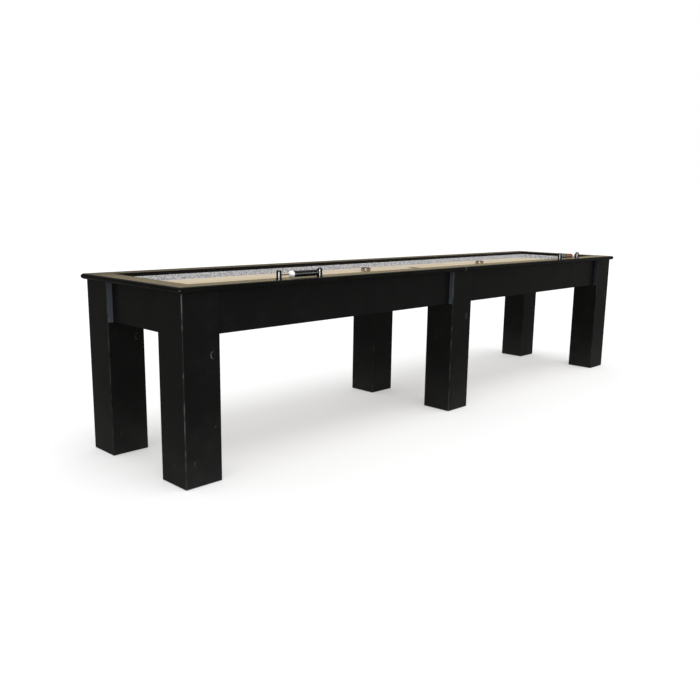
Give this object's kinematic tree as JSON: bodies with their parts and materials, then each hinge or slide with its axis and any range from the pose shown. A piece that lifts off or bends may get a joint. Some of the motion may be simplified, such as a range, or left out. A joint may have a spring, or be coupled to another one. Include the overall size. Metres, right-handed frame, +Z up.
{
  "type": "shuffleboard table",
  "caption": "Long black shuffleboard table on square box legs, with capped rails, a carpeted gutter round a raised maple playfield, bead scorers and sliding weights.",
  "frame": {"origin": "on the floor under the middle of the table", "axes": "+X along the table towards its right end, +Y across it towards the rear rail, +Z up; the scorers are on the front (-Y) rail"},
  "size_m": [3.658, 0.79, 0.848],
  "materials": {
    "black_lacquer": "satin black lacquer",
    "rail_lacquer": "gloss black lacquer",
    "maple": "high-gloss clear coat on butcher-block maple",
    "raw_wood": "sawn, unfinished",
    "plywood": "plywood, unfinished",
    "grey_carpet": "speckled grey carpet",
    "black_metal": "gloss black",
    "black_steel": "black oxide",
    "zinc_steel": "zinc plated",
    "polished_steel": "polished",
    "chrome": "mirror polished",
    "weight_cap": "gloss",
    "white_bead": "gloss",
    "black_bead": "gloss",
    "grey_bead": "gloss",
    "red_bead": "gloss"
  },
  "bodies": {
    "cabinet": {"side_apron_front_left": "black_lacquer", "side_apron_front_right": "black_lacquer", "side_apron_rear_left": "black_lacquer", "side_apron_rear_right": "black_lacquer", "end_apron_left": "black_lacquer", "end_apron_right": "black_lacquer", "rail_front_left": "rail_lacquer", "rail_front_right": "rail_lacquer", "rail_rear_left": "rail_lacquer", "rail_rear_right": "rail_lacquer", "rail_end_left": "rail_lacquer", "rail_end_right": "rail_lacquer", "leg_front_left": "black_lacquer", "leg_front_middle": "black_lacquer", "leg_front_right": "black_lacquer", "leg_rear_left": "black_lacquer", "leg_rear_middle": "black_lacquer", "leg_rear_right": "black_lacquer", "foot_blocks": "raw_wood", "leveller_inserts": "zinc_steel", "leg_bolts": "black_steel", "leg_washers": "zinc_steel", "floor_panel_left": "plywood", "floor_panel_right": "plywood", "cross_bearers": "raw_wood", "adjuster_bearers": "raw_wood", "splice_bearer_left": "raw_wood", "splice_bearer_right": "raw_wood", "splice_bolts": "zinc_steel", "bearer_brackets": "zinc_steel", "rail_cleats": "raw_wood", "gutter_walls": "plywood", "gutter_carpet_left": "grey_carpet", "gutter_carpet_right": "grey_carpet", "playfield": "maple", "playfield_risers": "raw_wood", "adjuster_bars": "zinc_steel", "adjuster_rods": "zinc_steel", "scorer_posts": "black_metal", "scorer_rods": "polished_steel"},
    "leveller_front_left": {"leveller_front_left": "black_steel"},
    "leveller_front_middle": {"leveller_front_middle": "black_steel"},
    "leveller_front_right": {"leveller_front_right": "black_steel"},
    "leveller_rear_left": {"leveller_rear_left": "black_steel"},
    "leveller_rear_middle": {"leveller_rear_middle": "black_steel"},
    "leveller_rear_right": {"leveller_rear_right": "black_steel"},
    "adjuster_nut_1": {"adjuster_nut_1": "zinc_steel"},
    "adjuster_nut_2": {"adjuster_nut_2": "zinc_steel"},
    "adjuster_nut_3": {"adjuster_nut_3": "zinc_steel"},
    "adjuster_nut_4": {"adjuster_nut_4": "zinc_steel"},
    "scorer_left_marker": {"scorer_left_marker": "white_bead"},
    "scorer_left_outer_beads": {"scorer_left_outer_beads": "black_bead"},
    "scorer_left_inner_beads": {"scorer_left_inner_beads": "black_bead"},
    "scorer_right_marker": {"scorer_right_marker": "white_bead"},
    "scorer_right_outer_beads": {"scorer_right_outer_beads": "red_bead"},
    "scorer_right_inner_beads": {"scorer_right_inner_beads": "grey_bead"},
    "weight_1": {"weight_1_body": "chrome", "weight_1_cap": "weight_cap"},
    "weight_2": {"weight_2_body": "chrome", "weight_2_cap": "weight_cap"}
  },
  "joints": [
    {"name": "leveller_front_left_screw", "type": "slide", "parent": "cabinet", "child": "leveller_front_left", "axis": [0, 0, 1], "range_m": [-0.02, 0]},
    {"name": "leveller_front_middle_screw", "type": "slide", "parent": "cabinet", "child": "leveller_front_middle", "axis": [0, 0, 1], "range_m": [-0.02, 0]},
    {"name": "leveller_front_right_screw", "type": "slide", "parent": "cabinet", "child": "leveller_front_right", "axis": [0, 0, 1], "range_m": [-0.02, 0]},
    {"name": "leveller_rear_left_screw", "type": "slide", "parent": "cabinet", "child": "leveller_rear_left", "axis": [0, 0, 1], "range_m": [-0.02, 0]},
    {"name": "leveller_rear_middle_screw", "type": "slide", "parent": "cabinet", "child": "leveller_rear_middle", "axis": [0, 0, 1], "range_m": [-0.02, 0]},
    {"name": "leveller_rear_right_screw", "type": "slide", "parent": "cabinet", "child": "leveller_rear_right", "axis": [0, 0, 1], "range_m": [-0.02, 0]},
    {"name": "adjuster_nut_1_turn", "type": "hinge", "parent": "cabinet", "child": "adjuster_nut_1", "pos_m": [-1.12, 0, 0.629], "axis": [0, 0, 1], "continuous": true},
    {"name": "adjuster_nut_2_turn", "type": "hinge", "parent": "cabinet", "child": "adjuster_nut_2", "pos_m": [-0.4, 0, 0.629], "axis": [0, 0, 1], "continuous": true},
    {"name": "adjuster_nut_3_turn", "type": "hinge", "parent": "cabinet", "child": "adjuster_nut_3", "pos_m": [0.4, 0, 0.629], "axis": [0, 0, 1], "continuous": true},
    {"name": "adjuster_nut_4_turn", "type": "hinge", "parent": "cabinet", "child": "adjuster_nut_4", "pos_m": [1.12, 0, 0.629], "axis": [0, 0, 1], "continuous": true},
    {"name": "scorer_left_marker_slide", "type": "slide", "parent": "cabinet", "child": "scorer_left_marker", "axis": [-1, 0, 0], "range_m": [0, 0.046]},
    {"name": "scorer_left_outer_beads_slide", "type": "slide", "parent": "cabinet", "child": "scorer_left_outer_beads", "axis": [-1, 0, 0], "range_m": [0, 0.03072]},
    {"name": "scorer_left_inner_beads_slide", "type": "slide", "parent": "cabinet", "child": "scorer_left_inner_beads", "axis": [-1, 0, 0], "range_m": [0, 0.01538]},
    {"name": "scorer_right_marker_slide", "type": "slide", "parent": "cabinet", "child": "scorer_right_marker", "axis": [1, 0, 0], "range_m": [0, 0.046]},
    {"name": "scorer_right_outer_beads_slide", "type": "slide", "parent": "cabinet", "child": "scorer_right_outer_beads", "axis": [1, 0, 0], "range_m": [0, 0.03072]},
    {"name": "scorer_right_inner_beads_slide", "type": "slide", "parent": "cabinet", "child": "scorer_right_inner_beads", "axis": [1, 0, 0], "range_m": [0, 0.01538]},
    {"name": "weight_1_slide", "type": "slide", "parent": "cabinet", "child": "weight_1", "axis": [1, 0, 0], "range_m": [-1.213, 0.323]},
    {"name": "weight_2_slide", "type": "slide", "parent": "cabinet", "child": "weight_2", "axis": [1, 0, 0], "range_m": [-0.676, 0.86]}
  ],
  "couplings": [
    {"joint": "scorer_left_outer_beads_slide", "follows": "scorer_left_marker_slide", "ratio": 0.6667},
    {"joint": "scorer_left_inner_beads_slide", "follows": "scorer_left_marker_slide", "ratio": 0.3333},
    {"joint": "scorer_right_outer_beads_slide", "follows": "scorer_right_marker_slide", "ratio": 0.6667},
    {"joint": "scorer_right_inner_beads_slide", "follows": "scorer_right_marker_slide", "ratio": 0.3333}
  ]
}
